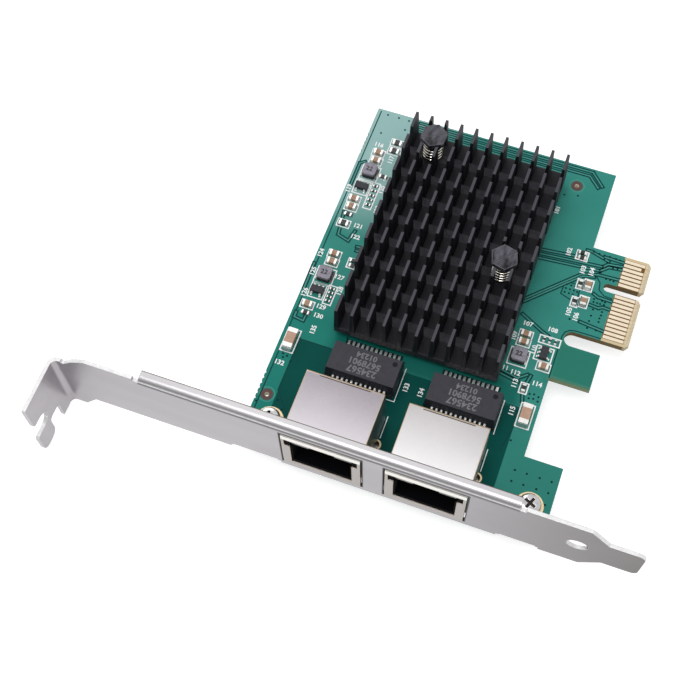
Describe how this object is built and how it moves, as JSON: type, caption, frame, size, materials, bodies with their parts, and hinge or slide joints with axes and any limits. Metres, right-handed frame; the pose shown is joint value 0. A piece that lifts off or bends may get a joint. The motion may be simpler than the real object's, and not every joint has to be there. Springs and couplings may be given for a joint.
{
  "type": "network interface card",
  "caption": "Plug-in network card with a full-height slot bracket, twin shielded jacks, isolation transformers and a black finned heat sink held by spring-loaded push pins",
  "frame": {"origin": "On the contact edge of the board, in the key notch between the two rows of contact fingers, half way through the board's thickness.", "axes": "X runs along the contact edge's direction of insertion, out of the contact edge and towards the bracket's tail, so -X points to the screw tab. Y runs from the bracket to the rear of the card. Z is the board's normal, +Z on the component side."},
  "size_m": [0.12, 0.1, 0.0221],
  "materials": {
    "nickel_plated_steel": "bright nickel plate, satin",
    "screw_steel": "bright nickel plate",
    "green_solder_mask": "glossy green solder mask",
    "gold_plating": "gold plated, bright",
    "shield_metal": "tin plated, satin",
    "black_moulding": "moulded, matte",
    "moulding_compound": "moulded, fine matte",
    "tin_leads": "tinned, satin",
    "black_anodised": "black anodised, satin",
    "black_nylon": "moulded nylon, satin",
    "spring_steel": "bright wire",
    "thermal_compound": "soft grey pad",
    "ferrite_top": "grey ferrite resin",
    "ferrite_base": "dark ferrite",
    "capacitor_ceramic": "tan ceramic",
    "large_capacitor_ceramic": "tan ceramic",
    "resistor_glaze": "black glaze"
  },
  "bodies": {
    "root": {"bracket": "nickel_plated_steel", "bracket_screws": "screw_steel", "circuit_board": "green_solder_mask", "contact_fingers_component_side": "gold_plating", "contact_fingers_solder_side": "gold_plating", "jack_shield_left": "shield_metal", "jack_shield_right": "shield_metal", "jack_housing_left": "black_moulding", "jack_housing_right": "black_moulding", "jack_contacts_left": "gold_plating", "jack_contacts_right": "gold_plating", "transformer_left": "moulding_compound", "transformer_right": "moulding_compound", "transformer_leads_left": "tin_leads", "transformer_leads_right": "tin_leads", "heatsink": "black_anodised", "push_pins": "black_nylon", "push_pin_springs": "spring_steel", "thermal_pads": "thermal_compound", "controller_left": "moulding_compound", "controller_right": "moulding_compound", "lane_switch": "moulding_compound", "inductor_bases": "ferrite_base", "inductor_tops": "ferrite_top", "regulator_bodies": "moulding_compound", "regulator_leads": "tin_leads", "capacitor_bodies": "capacitor_ceramic", "capacitor_ends": "tin_leads", "large_capacitor_bodies": "large_capacitor_ceramic", "large_capacitor_ends": "tin_leads", "resistor_bodies": "resistor_glaze", "resistor_ends": "tin_leads"}
  },
  "joints": []
}
